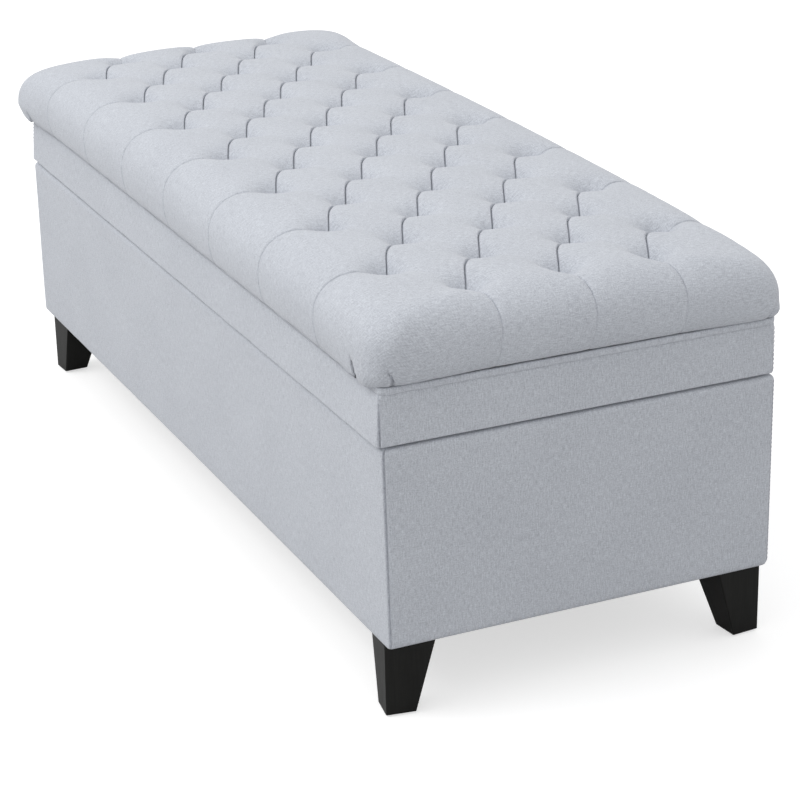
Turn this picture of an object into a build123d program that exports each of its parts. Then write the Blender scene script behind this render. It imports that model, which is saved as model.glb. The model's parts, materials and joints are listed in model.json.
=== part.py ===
from build123d import *
from math import cos, radians, sin
import os

# A storage bench: an upholstered box on four tapered legs, with a deep-tufted lid hinged along
# the back. Millimetres. +X runs along the bench, -Y faces the sitter's side (the front), +Z is
# up, and the origin is on the floor under the middle of the box.

# Driving sizes
LENGTH = 1300.0
DEPTH = 500.0
LEG_HEIGHT = 90.0
BOX_TOP = 334.5
LID_GAP = 3.0
BAND_TOP = 398.0
SEAT_BASE = 406.0
SEAT_TOP = 497.0

# Sheet and board thicknesses
FABRIC = 1.2
BOX_PADDING = 5.0
BAND_PADDING = 3.0
PANEL = 15.0
FLOOR_PANEL = 9.0
LID_BOARD = 12.0
LID_BOTTOM = 9.0
HEM = 26.0
EDGE_PADDING = 3.5

# Box: the panels stand inside the padding and the fabric
HALF_X = LENGTH / 2
HALF_Y = DEPTH / 2
PANEL_X = HALF_X - FABRIC - BOX_PADDING
PANEL_Y = HALF_Y - FABRIC - BOX_PADDING
INNER_X = PANEL_X - PANEL
INNER_Y = PANEL_Y - PANEL
PANEL_Z0 = LEG_HEIGHT + FABRIC
PANEL_Z1 = BOX_TOP - FABRIC - EDGE_PADDING
BATTEN_HEIGHT = 30.0
FLOOR_Z = PANEL_Z0 + BATTEN_HEIGHT
LINING_Z0 = FLOOR_Z + FLOOR_PANEL + FABRIC
FLAP_Z = BOX_TOP - 30.0
BLOCK_X = 70.0
BLOCK_Y = 60.0
BATTEN_WIDTH = 20.0
CROSS_BATTEN_X = 210.0

# Lid: its band stands a little forward of the box
LID_Z = BOX_TOP + LID_GAP
BAND_FRONT = -254.0
BAND_BACK = 248.0
RAIL_X = HALF_X - FABRIC - BAND_PADDING
RAIL_FRONT = BAND_FRONT + FABRIC + BAND_PADDING
RAIL_BACK = BAND_BACK - FABRIC - BAND_PADDING
LID_BOTTOM_Z0 = LID_Z + FABRIC
LID_BOTTOM_Z1 = LID_BOTTOM_Z0 + LID_BOTTOM
LID_BOARD_Z0 = SEAT_BASE - LID_BOARD
LID_BATTEN_WIDTH = 30.0

# Seat: foam, batting and the tufted cover overhang the band
SEAT_X = HALF_X + 12.0
SEAT_FRONT = BAND_FRONT - 11.0
SEAT_BACK = BAND_BACK + 13.0
SEAT_CORNER = 34.0
SEAT_TOP_ROUND = 30.0
SEAT_FOOT_ROUND = 13.0
COVER = 1.5
FOAM_TOP = 452.0

# Tufts stand in rows across the bench: odd rows hold three and even rows hold four
TUFT_ROWS = 15
TUFT_PITCH_X = 84.1
TUFT_PITCH_Y = 58.3
TIE_TOP = 466.0
TIE_RADIUS = 1.0
TIE_HOLE = 4.0
TOGGLE_RADIUS = 9.0
TOGGLE_HEIGHT = 3.0

# Legs: the two outer faces are upright and the two inner faces taper
LEG_FOOT = 36.0
LEG_HEAD = 60.0
LEG_BOLT_X = 613.0
LEG_BOLT_Y = 216.0
LEG_BOLT_INSET = 27.0
LEG_BOLT_RADIUS = 4.0
LEG_INSERT_RADIUS = 6.5
GLIDE_HEIGHT = 2.5
GLIDE_RADIUS = 11.0
# Each leg stops turning where its hanger bolt is tight (degrees)
LEG_TWIST = {"front_right": -9.0, "back_right": 5.0, "front_left": 4.0, "back_left": -3.0}

# Hinges: three butt hinges whose barrels stand just behind the joint line
HINGE_Y = 255.5
HINGE_Z = BOX_TOP + LID_GAP / 2
HINGE_X = (-450.0, 0.0, 450.0)
BARREL_RADIUS = 4.5
PIN_RADIUS = 2.2
PIN_CLEARANCE = 0.05
KNUCKLE = 12.0
KNUCKLE_GAP = 0.3
KNUCKLES = 5
LEAF = 1.4
LEAF_INNER_Y = 223.0
SCREW_RADIUS = 1.75
SCREW_HEAD = 3.2
HINGE_SCREW_X = (-20.0, 0.0, 20.0)
HINGE_SCREW_LENGTH = 24.0

# Lid stays: an arm as long as the bracket's distance from the hinge keeps its stud on a straight
# line through the hinge, so the arm turns back twice as fast as the lid turns up
STAY_ARM = 150.0
STAY_DROP = 12.0
STAY_SLOPE = 14.0
LID_OPEN = 75.0
RAIL_FACE_X = 621.6
RAIL_THICKNESS = 2.0
RAIL_HALF_WIDTH = 9.0
RAIL_SCREWS = (47.0, 322.0)
BOSS_RADIUS = 7.0
STUD_RADIUS = 3.3
STUD_CLEARANCE = 0.3
STUD_HEAD = 6.5
ARM_X = 616.0
ARM_THICKNESS = 3.0
ARM_HALF_WIDTH = 8.0
RIVET_RADIUS = 3.0
RIVET_CLEARANCE = 0.05
BRACKET_X = 611.5
BRACKET = 2.5
BRACKET_HALF_WIDTH = 12.0
BRACKET_FLANGE = 38.0
STAY_BLOCK_HEIGHT = 30.0
BUMPER_RADIUS = 6.0
BUMPER_HEIGHT = 2.8

os.makedirs("parts", exist_ok=True)


def save(name, *shapes):
    """Write the solids of one node to its STEP file."""
    solids = [solid for shape in shapes for solid in shape.solids()]
    export_step(solids[0] if len(solids) == 1 else Compound(solids), f"parts/{name}.step")


def block(x0, x1, y0, y1, z0, z1):
    """A box between two corners."""
    centre = ((x0 + x1) / 2, (y0 + y1) / 2, (z0 + z1) / 2)
    return Pos(*centre) * Box(x1 - x0, y1 - y0, z1 - z0)


def rod(x, y, z0, z1, radius):
    """An upright round bar."""
    return Pos(x, y, (z0 + z1) / 2) * Cylinder(radius, z1 - z0)


def cross_rod(x0, x1, y, z, radius):
    """A round bar along X."""
    return Pos((x0 + x1) / 2, y, z) * Rot(0, 90, 0) * Cylinder(radius, x1 - x0)


def corner_rounded(x_half, y0, y1, z0, z1, radius):
    """A box whose four upright edges are rounded."""
    body = block(-x_half, x_half, y0, y1, z0, z1)
    return fillet(body.edges().filter_by(Axis.Z), radius)


def mirrored(shape):
    """The same piece at the other end of the bench."""
    return mirror(shape, about=Plane.YZ)


def four_sides(ring, x_half, y0, y1):
    """Cut a ring around the box into front, back, left and right along its corner mitres."""
    reach = (y1 - y0) / 2
    middle = (y0 + y1) / 2
    out = 60.0
    front_left = (-x_half - out, y0 - out)
    front_right = (x_half + out, y0 - out)
    back_left = (-x_half - out, y1 + out)
    back_right = (x_half + out, y1 + out)
    left_end = (-x_half + reach, middle)
    right_end = (x_half - reach, middle)
    outlines = {
        "front": [front_left, front_right, right_end, left_end],
        "back": [back_right, back_left, left_end, right_end],
        "left": [back_left, front_left, left_end],
        "right": [front_right, back_right, right_end],
    }
    pieces = {}
    for side, points in outlines.items():
        wedge = extrude(make_face(Polyline(*points, close=True)), amount=SEAT_TOP, dir=(0, 0, 1))
        pieces[side] = ring & wedge
    return pieces


def corner_beads(x_half, y0, y1, z0, z1, radius, bead, body):
    """The four upright seams where the side fabrics meet, lying on the rounded corners."""
    inset = radius * (1 - cos(radians(45)))
    beads = []
    for x in (-x_half + inset, x_half - inset):
        for y in (y0 + inset, y1 - inset):
            beads.append(rod(x, y, z0, z1, bead) - body)
    return beads


# ---------------------------------------------------------------- hinges
def countersunk(length, grow=0.0):
    """A screw along -Z whose flat head is flush with z = 0."""
    head = Pos(0, 0, -LEAF / 2) * Cone(SCREW_RADIUS + grow, SCREW_HEAD + grow, LEAF)
    shank = Pos(0, 0, -length / 2) * Cylinder(SCREW_RADIUS + grow, length)
    return head + shank


def knuckles(indices, grow=0.0):
    """The barrel sections with these numbers, for one hinge at x = 0."""
    start = -KNUCKLES * KNUCKLE / 2
    sections = []
    for index in indices:
        x0 = start + index * KNUCKLE + KNUCKLE_GAP / 2 - grow
        x1 = start + (index + 1) * KNUCKLE - KNUCKLE_GAP / 2 + grow
        sections.append((x0, x1))
    return sections


def hinge_half(indices, z0, z1, bore):
    """A leaf and its knuckles: a flat plate that runs into the barrel where it has a knuckle."""
    half = KNUCKLES * KNUCKLE / 2
    leaf = block(-half, half, LEAF_INNER_Y, HINGE_Y - BARREL_RADIUS - 0.4, z0, z1)
    for x0, x1 in knuckles(indices):
        leaf += block(x0, x1, LEAF_INNER_Y, HINGE_Y, z0, z1)
        leaf += cross_rod(x0, x1, HINGE_Y, HINGE_Z, BARREL_RADIUS)
    return leaf - cross_rod(-half, half, HINGE_Y, HINGE_Z, bore)


HINGE_SCREW_Y = INNER_Y + PANEL / 2
BASE_KNUCKLES = (0, 2, 4)
LID_KNUCKLES = (1, 3)
hinge_base_screws = []
hinge_lid_screws = []
hinge_pins = []
for hinge_x in HINGE_X:
    for screw_x in HINGE_SCREW_X:
        x = hinge_x + screw_x
        down = Pos(x, HINGE_SCREW_Y, BOX_TOP + LEAF)
        up = Pos(x, HINGE_SCREW_Y, LID_Z - LEAF) * Rot(180, 0, 0)
        hinge_base_screws.append(down * countersunk(HINGE_SCREW_LENGTH))
        hinge_lid_screws.append(up * countersunk(HINGE_SCREW_LENGTH))
    pin_half = KNUCKLES * KNUCKLE / 2 + 1.0
    pin = cross_rod(hinge_x - pin_half, hinge_x + pin_half, HINGE_Y, HINGE_Z, PIN_RADIUS)
    hinge_pins.append(pin)

base_half = hinge_half(BASE_KNUCKLES, BOX_TOP, BOX_TOP + LEAF, PIN_RADIUS)
lid_half = hinge_half(LID_KNUCKLES, LID_Z - LEAF, LID_Z, PIN_RADIUS + PIN_CLEARANCE)
hinge_leaves_base = []
hinge_leaves_lid = []
for index, hinge_x in enumerate(HINGE_X):
    own = slice(index * len(HINGE_SCREW_X), (index + 1) * len(HINGE_SCREW_X))
    hinge_leaves_base.append(Pos(hinge_x, 0, 0) * base_half - hinge_base_screws[own])
    hinge_leaves_lid.append(Pos(hinge_x, 0, 0) * lid_half - hinge_lid_screws[own])
save("hinge_leaves_base", *hinge_leaves_base)
save("hinge_leaves_lid", *hinge_leaves_lid)
save("hinge_pins", *hinge_pins)
save("hinge_screws_base", *hinge_base_screws)
save("hinge_screws_lid", *hinge_lid_screws)


# ---------------------------------------------------------------- lid stays (right-hand end)
def stay_point(distance, slope):
    """The (y, z) of a point at a distance from the hinge axis, below the joint line."""
    angle = radians(slope)
    return HINGE_Y - distance * cos(angle), HINGE_Z - distance * sin(angle)


def side_plane(x, y, z, slope):
    """A sketch plane facing +X whose own x runs forward and down at the slope."""
    angle = radians(slope)
    return Plane(origin=(x, y, z), x_dir=(0, -cos(angle), -sin(angle)), z_dir=(1, 0, 0))


def link(x, start, end, half_width, thickness):
    """A flat bar with round ends between two (y, z) points."""
    dy, dz = end[0] - start[0], end[1] - start[1]
    span = (dy**2 + dz**2) ** 0.5
    plane = Plane(origin=(x, *start), x_dir=(0, dy / span, dz / span), z_dir=(1, 0, 0))
    outline = Pos(span / 2, 0, 0) * SlotCenterToCenter(span, 2 * half_width)
    return extrude(plane * outline, amount=thickness, dir=(1, 0, 0))


STUD_CLOSED = 2 * STAY_ARM * cos(radians(STAY_SLOPE - STAY_DROP))
STUD_OPEN = 2 * STAY_ARM * cos(radians(LID_OPEN - STAY_DROP + STAY_SLOPE))
rivet_y, rivet_z = stay_point(STAY_ARM, STAY_DROP)
stud_y, stud_z = stay_point(STUD_CLOSED, STAY_SLOPE)
FLAP_X = INNER_X - FABRIC

rail = link(
    RAIL_FACE_X,
    stay_point(RAIL_SCREWS[0], STAY_SLOPE),
    stay_point(RAIL_SCREWS[1], STAY_SLOPE),
    RAIL_HALF_WIDTH,
    RAIL_THICKNESS,
)
for distance in RAIL_SCREWS:
    y, z = stay_point(distance, STAY_SLOPE)
    rail += cross_rod(RAIL_FACE_X, FLAP_X, y, z, BOSS_RADIUS)
rail -= link(
    RAIL_FACE_X - 1,
    stay_point(STUD_OPEN, STAY_SLOPE),
    stay_point(STUD_CLOSED, STAY_SLOPE),
    STUD_RADIUS + STUD_CLEARANCE,
    RAIL_THICKNESS + 2,
)
rail_screws = []
for distance in RAIL_SCREWS:
    y, z = stay_point(distance, STAY_SLOPE)
    screw = Pos(RAIL_FACE_X, y, z) * Rot(0, -90, 0) * countersunk(20.0)
    rail_screws.append(screw)
rail -= rail_screws

arm = link(ARM_X, (rivet_y, rivet_z), (stud_y, stud_z), ARM_HALF_WIDTH, ARM_THICKNESS)
arm -= cross_rod(ARM_X - 1, ARM_X + 5, rivet_y, rivet_z, RIVET_RADIUS + RIVET_CLEARANCE)
arm -= cross_rod(ARM_X - 1, ARM_X + 5, stud_y, stud_z, STUD_RADIUS)

RAIL_BACK_X = RAIL_FACE_X + RAIL_THICKNESS
stud = cross_rod(ARM_X - 1.4, ARM_X, stud_y, stud_z, 5.5)
stud += cross_rod(ARM_X, RAIL_BACK_X + 0.5, stud_y, stud_z, STUD_RADIUS)
stud += cross_rod(RAIL_BACK_X + 0.5, RAIL_BACK_X + 2.8, stud_y, stud_z, STUD_HEAD)

BRACKET_FACE = BRACKET_X + BRACKET
rivet = cross_rod(BRACKET_X - 2.0, BRACKET_X, rivet_y, rivet_z, 5.5)
rivet += cross_rod(BRACKET_X, ARM_X + ARM_THICKNESS + 0.3, rivet_y, rivet_z, RIVET_RADIUS)
rivet += cross_rod(BRACKET_FACE, ARM_X - 0.1, rivet_y, rivet_z, 5.0)
rivet += cross_rod(ARM_X + ARM_THICKNESS + 0.3, RAIL_FACE_X - 0.8, rivet_y, rivet_z, 5.0)

bracket = link(
    BRACKET_X, (rivet_y, rivet_z), (rivet_y, LID_Z - BRACKET), BRACKET_HALF_WIDTH, BRACKET
)
bracket &= block(BRACKET_X, BRACKET_FACE, 0, HALF_Y, 0, LID_Z)
bracket += block(
    BRACKET_FACE - BRACKET_FLANGE,
    BRACKET_FACE,
    rivet_y - 2 * BRACKET_HALF_WIDTH,
    rivet_y + 2 * BRACKET_HALF_WIDTH,
    LID_Z - BRACKET,
    LID_Z,
)
bracket -= cross_rod(BRACKET_X - 1, BRACKET_FACE + 1, rivet_y, rivet_z, RIVET_RADIUS)
bracket_screws = []
for y in (rivet_y - 17.0, rivet_y + 17.0):
    for x in (BRACKET_FACE - 30.0, BRACKET_FACE - 12.0):
        bracket_screws.append(Pos(x, y, LID_Z - BRACKET) * Rot(180, 0, 0) * countersunk(22.0))
bracket -= bracket_screws

save("stay_rail_right", rail)
save("stay_rail_left", mirrored(rail))
save("stay_arm_right", arm)
save("stay_arm_left", mirrored(arm))
save("stay_stud_right", stud)
save("stay_stud_left", mirrored(stud))
save("stay_bracket_right", bracket)
save("stay_bracket_left", mirrored(bracket))
save("stay_rivets", rivet, mirrored(rivet))
rail_screws += [mirrored(screw) for screw in rail_screws]
bracket_screws += [mirrored(screw) for screw in bracket_screws]
save("stay_rail_screws", *rail_screws)
save("stay_bracket_screws", *bracket_screws)

# ---------------------------------------------------------------- box panels
back_panel = block(-PANEL_X, PANEL_X, INNER_Y, PANEL_Y, PANEL_Z0, PANEL_Z1)
front_panel = block(-PANEL_X, PANEL_X, -PANEL_Y, -INNER_Y, PANEL_Z0, PANEL_Z1)
right_panel = block(INNER_X, PANEL_X, -INNER_Y, INNER_Y, PANEL_Z0, PANEL_Z1)
save("base_back_panel", back_panel - hinge_base_screws)
save("base_front_panel", front_panel)
save("base_right_panel", right_panel - rail_screws)
save("base_left_panel", mirrored(right_panel) - rail_screws)

corner_blocks = []
leg_inserts = []
leg_bolts = []
for sign_x in (-1, 1):
    for sign_y in (-1, 1):
        x_edges = sorted((sign_x * INNER_X, sign_x * (INNER_X - BLOCK_X)))
        y_edges = sorted((sign_y * INNER_Y, sign_y * (INNER_Y - BLOCK_Y)))
        bolt_x, bolt_y = sign_x * LEG_BOLT_X, sign_y * LEG_BOLT_Y
        hole = rod(bolt_x, bolt_y, PANEL_Z0, FLOOR_Z, LEG_INSERT_RADIUS)
        corner_blocks.append(block(*x_edges, *y_edges, PANEL_Z0, FLOOR_Z) - hole)
        bolt = rod(bolt_x, bolt_y, LEG_HEIGHT - 50, FLOOR_Z - 4, LEG_BOLT_RADIUS)
        leg_bolts.append(bolt)
        insert = rod(bolt_x, bolt_y, PANEL_Z0, FLOOR_Z - 8, LEG_INSERT_RADIUS)
        leg_inserts.append(insert - bolt)
save("corner_blocks", *corner_blocks)
save("leg_inserts", *leg_inserts)
save("leg_bolts", *leg_bolts)

long_x = INNER_X - BLOCK_X
long_y = INNER_Y - BLOCK_Y
battens = []
for sign in (-1, 1):
    y_edges = sorted((sign * INNER_Y, sign * (INNER_Y - BATTEN_WIDTH)))
    battens.append(block(-long_x, long_x, *y_edges, PANEL_Z0, FLOOR_Z))
    x_edges = sorted((sign * INNER_X, sign * (INNER_X - BATTEN_WIDTH)))
    battens.append(block(*x_edges, -long_y, long_y, PANEL_Z0, FLOOR_Z))
    x = sign * CROSS_BATTEN_X
    reach = INNER_Y - BATTEN_WIDTH
    battens.append(block(x - 15, x + 15, -reach, reach, PANEL_Z0, FLOOR_Z))
save("floor_battens", *battens)
save("floor_panel", block(-INNER_X, INNER_X, -INNER_Y, INNER_Y, FLOOR_Z, FLOOR_Z + FLOOR_PANEL))

# ---------------------------------------------------------------- legs
leg_centre = LEG_BOLT_INSET - LEG_FOOT / 2
glides = []
for name, twist in LEG_TWIST.items():
    sign_y = -1 if name.startswith("front") else 1
    sign_x = -1 if name.endswith("left") else 1
    place = Pos(sign_x * LEG_BOLT_X, sign_y * LEG_BOLT_Y, 0) * Rot(0, 0, twist)
    foot_x = sign_x * leg_centre
    foot_y = sign_y * leg_centre
    head_x = sign_x * (LEG_BOLT_INSET - LEG_HEAD / 2)
    head_y = sign_y * (LEG_BOLT_INSET - LEG_HEAD / 2)
    foot = Pos(foot_x, foot_y, GLIDE_HEIGHT) * RectangleRounded(LEG_FOOT, LEG_FOOT, 1.5)
    head = Pos(head_x, head_y, LEG_HEIGHT) * RectangleRounded(LEG_HEAD, LEG_HEAD, 1.5)
    leg = loft([foot, head], ruled=True) - rod(0, 0, LEG_HEIGHT - 50, LEG_HEIGHT, LEG_BOLT_RADIUS)
    save(f"leg_{name}", place * leg)
    glide = rod(foot_x, foot_y, 0, GLIDE_HEIGHT, GLIDE_RADIUS)
    glides.append(place * chamfer(glide.edges().sort_by(Axis.Z)[0], 0.8))
save("leg_glides", *glides)

# ---------------------------------------------------------------- box upholstery
outer = corner_rounded(HALF_X, -HALF_Y, HALF_Y, LEG_HEIGHT, BOX_TOP, 8.0)
outer = fillet(outer.edges().group_by(Axis.Z)[-1], 5.0)
outer = fillet(outer.edges().group_by(Axis.Z)[0], 4.0)
padding_x = HALF_X - FABRIC
padding_y = HALF_Y - FABRIC
padding_top = BOX_TOP - FABRIC
filled = corner_rounded(padding_x, -padding_y, padding_y, PANEL_Z0, padding_top, 8.0 - FABRIC)
filled = fillet(filled.edges().group_by(Axis.Z)[-1], 5.0 - FABRIC)
mouth = block(-FLAP_X, FLAP_X, -INNER_Y + FABRIC, INNER_Y - FABRIC, FLAP_Z, BOX_TOP + 1)
flap = block(-INNER_X, INNER_X, -INNER_Y, INNER_Y, FLAP_Z, BOX_TOP - FABRIC / 2)
underside_x = HALF_X - HEM
underside_y = HALF_Y - HEM
underside = block(-underside_x, underside_x, -underside_y, underside_y, LEG_HEIGHT, PANEL_Z0)
box_cover = outer - filled + flap - mouth - underside
box_cover -= block(-INNER_X, INNER_X, -INNER_Y, INNER_Y, PANEL_Z0, FLAP_Z)
cover_sides = four_sides(box_cover, HALF_X, -HALF_Y, HALF_Y)
save("base_cover_front", cover_sides["front"])
save("base_cover_back", cover_sides["back"] - hinge_base_screws)
save("base_cover_left", cover_sides["left"] - rail_screws)
save("base_cover_right", cover_sides["right"] - rail_screws)
seam_body = outer
seam_z0 = LEG_HEIGHT + 5
beads = corner_beads(HALF_X, -HALF_Y, HALF_Y, seam_z0, BOX_TOP - 6, 8.0, 0.9, seam_body)
save("base_corner_seams", *beads)

cavity = block(-INNER_X, INNER_X, -INNER_Y, INNER_Y, PANEL_Z0, BOX_TOP)
frame_core = block(-PANEL_X, PANEL_X, -PANEL_Y, PANEL_Y, PANEL_Z0, PANEL_Z1)
box_padding = filled - cavity - frame_core
padding_sides = four_sides(box_padding, HALF_X, -HALF_Y, HALF_Y)
save("base_padding", *[side - hinge_base_screws for side in padding_sides.values()])

lining_back = block(-INNER_X, INNER_X, INNER_Y - FABRIC, INNER_Y, LINING_Z0, FLAP_Z)
lining_front = block(-INNER_X, INNER_X, -INNER_Y, -INNER_Y + FABRIC, LINING_Z0, FLAP_Z)
lining_y = INNER_Y - FABRIC
lining_right = block(FLAP_X, INNER_X, -lining_y, lining_y, LINING_Z0, FLAP_Z) - rail_screws
save("storage_wall_lining", lining_back, lining_front, lining_right, mirrored(lining_right))
floor_lining_z = FLOOR_Z + FLOOR_PANEL
floor_lining = block(-INNER_X, INNER_X, -INNER_Y, INNER_Y, floor_lining_z, LINING_Z0)
save("storage_floor_lining", floor_lining)
save("dust_cover", underside - leg_bolts)

bumpers = []
for x in (-(INNER_X + 7), INNER_X + 7):
    for y in (-190.0, 190.0):
        bumper = rod(x, y, BOX_TOP, BOX_TOP + BUMPER_HEIGHT, BUMPER_RADIUS)
        bumpers.append(chamfer(bumper.edges().sort_by(Axis.Z)[-1], 0.8))
save("lid_bumpers", *bumpers)

# ---------------------------------------------------------------- lid frame
tuft_places = []
for row in range(TUFT_ROWS):
    tuft_x = (row - (TUFT_ROWS - 1) / 2) * TUFT_PITCH_X
    steps = (-2, 0, 2) if row % 2 == 0 else (-3, -1, 1, 3)
    for step in steps:
        tuft_places.append((tuft_x, step * TUFT_PITCH_Y))

tie_holes = [rod(x, y, LID_BOARD_Z0, SEAT_TOP, TIE_HOLE) for x, y in tuft_places]
ties = []
toggles = []
for x, y in tuft_places:
    ties.append(rod(x, y, LID_BOARD_Z0, TIE_TOP, TIE_RADIUS))
    toggles.append(rod(x, y, LID_BOARD_Z0 - TOGGLE_HEIGHT, LID_BOARD_Z0, TOGGLE_RADIUS))
save("tuft_ties", *ties)
save("tuft_toggles", *toggles)

lid_board = block(-RAIL_X, RAIL_X, RAIL_FRONT, RAIL_BACK, LID_BOARD_Z0, SEAT_BASE)
save("lid_board", lid_board - tie_holes)
lid_bottom = block(-RAIL_X, RAIL_X, RAIL_FRONT, RAIL_BACK, LID_BOTTOM_Z0, LID_BOTTOM_Z1)
save("lid_bottom_panel", lid_bottom - hinge_lid_screws - bracket_screws)
rail_zs = (LID_BOTTOM_Z1, LID_BOARD_Z0)
front_rail = block(-RAIL_X, RAIL_X, RAIL_FRONT, RAIL_FRONT + PANEL, *rail_zs)
back_rail = block(-RAIL_X, RAIL_X, RAIL_BACK - PANEL, RAIL_BACK, *rail_zs)
end_rail_y = (RAIL_FRONT + PANEL, RAIL_BACK - PANEL)
right_rail = block(RAIL_X - PANEL, RAIL_X, *end_rail_y, *rail_zs)
save("lid_front_rail", front_rail)
save("lid_back_rail", back_rail - hinge_lid_screws)
save("lid_right_rail", right_rail)
save("lid_left_rail", mirrored(right_rail))

lid_battens = []
for half_steps in (-9, -3, 3, 9):
    x = half_steps * TUFT_PITCH_X / 2
    x_edges = (x - LID_BATTEN_WIDTH / 2, x + LID_BATTEN_WIDTH / 2)
    lid_battens.append(block(*x_edges, *end_rail_y, *rail_zs))
block_x = (BRACKET_FACE - BRACKET_FLANGE - 5, RAIL_X - PANEL)
block_y = (rivet_y - 30, rivet_y + 30)
block_z = (LID_BOTTOM_Z1, LID_BOTTOM_Z1 + STAY_BLOCK_HEIGHT)
stay_block = block(*block_x, *block_y, *block_z)
lid_battens += [stay_block - bracket_screws, mirrored(stay_block) - bracket_screws]
save("lid_battens", *lid_battens)

# ---------------------------------------------------------------- lid band
band = corner_rounded(HALF_X, BAND_FRONT, BAND_BACK, LID_Z, BAND_TOP, 5.0)
band = fillet(band.edges().group_by(Axis.Z)[0], 1.0)
band_padding_x = HALF_X - FABRIC
band_padding_y = (BAND_FRONT + FABRIC, BAND_BACK - FABRIC)
band_inner = corner_rounded(band_padding_x, *band_padding_y, LID_BOTTOM_Z0, BAND_TOP, 3.8)
lining_box = block(
    -HALF_X + HEM, HALF_X - HEM, BAND_FRONT + HEM, BAND_BACK - HEM, LID_Z, LID_BOTTOM_Z0
)
band_cover = band - band_inner - lining_box
band_sides = four_sides(band_cover, HALF_X, BAND_FRONT, BAND_BACK)
save("band_cover_front", band_sides["front"])
save("band_cover_back", band_sides["back"] - hinge_lid_screws)
save("band_cover_left", band_sides["left"])
save("band_cover_right", band_sides["right"])
seam_ends = (LID_Z + 2, BAND_TOP)
beads = corner_beads(HALF_X, BAND_FRONT, BAND_BACK, *seam_ends, 5.0, 0.9, band)
save("band_corner_seams", *beads)
save("lid_lining", lining_box - bracket_screws)
band_core = block(-RAIL_X, RAIL_X, RAIL_FRONT, RAIL_BACK, LID_BOTTOM_Z0, SEAT_BASE)
band_padding = four_sides(band_inner - band_core, HALF_X, BAND_FRONT, BAND_BACK)
save("band_padding", *band_padding.values())
welt = corner_rounded(HALF_X + 0.5, BAND_FRONT - 0.5, BAND_BACK + 0.5, BAND_TOP, SEAT_BASE, 5.0)
welt = fillet(welt.edges().group_by(Axis.Z)[-1], 2.0)
save("welt", welt - band_core)


# ---------------------------------------------------------------- seat
def seat_block(inset):
    """The seat's rounded block, drawn in by a thickness all over."""
    z0 = SEAT_BASE + inset
    z1 = SEAT_TOP - inset
    corner = SEAT_CORNER - inset
    body = corner_rounded(
        SEAT_X - inset, SEAT_FRONT + inset, SEAT_BACK - inset, z0, z1, corner
    )
    body = fillet(body.edges().group_by(Axis.Z)[-1], SEAT_TOP_ROUND - inset)
    return fillet(body.edges().group_by(Axis.Z)[0], SEAT_FOOT_ROUND - inset)


seat_outer = seat_block(0)
seat_inner = seat_block(COVER)
opening_x = RAIL_X - 40
opening = block(-opening_x, opening_x, -200, 200, SEAT_BASE, SEAT_BASE + COVER)
save("tufted_cover", seat_outer - seat_inner - opening)
below = block(-SEAT_X, SEAT_X, SEAT_FRONT, SEAT_BACK, SEAT_BASE, FOAM_TOP)
save("lid_foam", (seat_inner & below) - tie_holes)
save("lid_batting", (seat_inner - below) - tie_holes)

print("stud travels from", round(STUD_CLOSED, 1), "to", round(STUD_OPEN, 1), "mm from the hinge")
print("rivet at", round(rivet_y, 3), round(rivet_z, 3), "hinge at", HINGE_Y, HINGE_Z)
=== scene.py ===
# %% [markdown]
# # A tufted storage bench
# The bench is a fabric-covered box on four short legs, with a padded, deep-tufted lid hinged along its back.
# The CAD frame already holds the timber, the hinges and the stays at their real size.
# Everything made below is a skin over that frame, in metres, with +X along the bench and -Y at its front.

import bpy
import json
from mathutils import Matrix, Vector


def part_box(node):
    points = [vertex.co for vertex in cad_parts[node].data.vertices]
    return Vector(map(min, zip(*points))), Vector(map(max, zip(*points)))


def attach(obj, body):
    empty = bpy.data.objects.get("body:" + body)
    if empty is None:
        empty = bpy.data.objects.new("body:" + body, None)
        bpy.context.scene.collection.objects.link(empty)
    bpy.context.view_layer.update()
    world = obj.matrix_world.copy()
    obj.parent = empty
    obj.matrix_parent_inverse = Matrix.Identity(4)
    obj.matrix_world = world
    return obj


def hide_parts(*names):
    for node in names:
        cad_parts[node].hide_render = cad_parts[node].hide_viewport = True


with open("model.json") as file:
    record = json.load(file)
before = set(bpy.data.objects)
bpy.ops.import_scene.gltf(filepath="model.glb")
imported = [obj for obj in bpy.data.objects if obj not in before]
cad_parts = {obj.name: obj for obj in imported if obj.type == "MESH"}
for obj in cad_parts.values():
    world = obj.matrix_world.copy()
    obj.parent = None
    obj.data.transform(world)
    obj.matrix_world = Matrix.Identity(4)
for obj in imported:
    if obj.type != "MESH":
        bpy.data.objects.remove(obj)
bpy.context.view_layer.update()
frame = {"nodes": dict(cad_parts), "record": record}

# %% [markdown]
# ## The camera
# A long lens looks down on the bench from beyond its front right corner.
# The camera is turned three times, about its own line of sight, then down, then round.

# %% Camera
import bpy
import bmesh
import json
import math
import numpy as np
from mathutils import Matrix, Vector, kdtree

scene = bpy.context.scene
CAMERA_PLACE = (2.892, -1.225, 1.356)
CAMERA_YAW = 66.02
CAMERA_DOWN = 21.49
CAMERA_ROLL = -1.26
CAMERA_LENS = 110.2
camera = bpy.data.objects.new("camera", bpy.data.cameras.new("camera"))
scene.collection.objects.link(camera)
camera.data.lens = CAMERA_LENS
turn = Matrix.Rotation(math.radians(CAMERA_YAW), 4, "Z")
turn = turn @ Matrix.Rotation(math.radians(90 - CAMERA_DOWN), 4, "X")
turn = turn @ Matrix.Rotation(math.radians(CAMERA_ROLL), 4, "Z")
camera.matrix_world = Matrix.Translation(CAMERA_PLACE) @ turn
scene.camera = camera
print("camera at", CAMERA_PLACE)

# %% [markdown]
# ## Shader arithmetic
# A material is a formula over the surface.  A small class wraps a socket and lets Python's own operators add
# the Math nodes.  Every other node comes from its `add` method.


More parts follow.
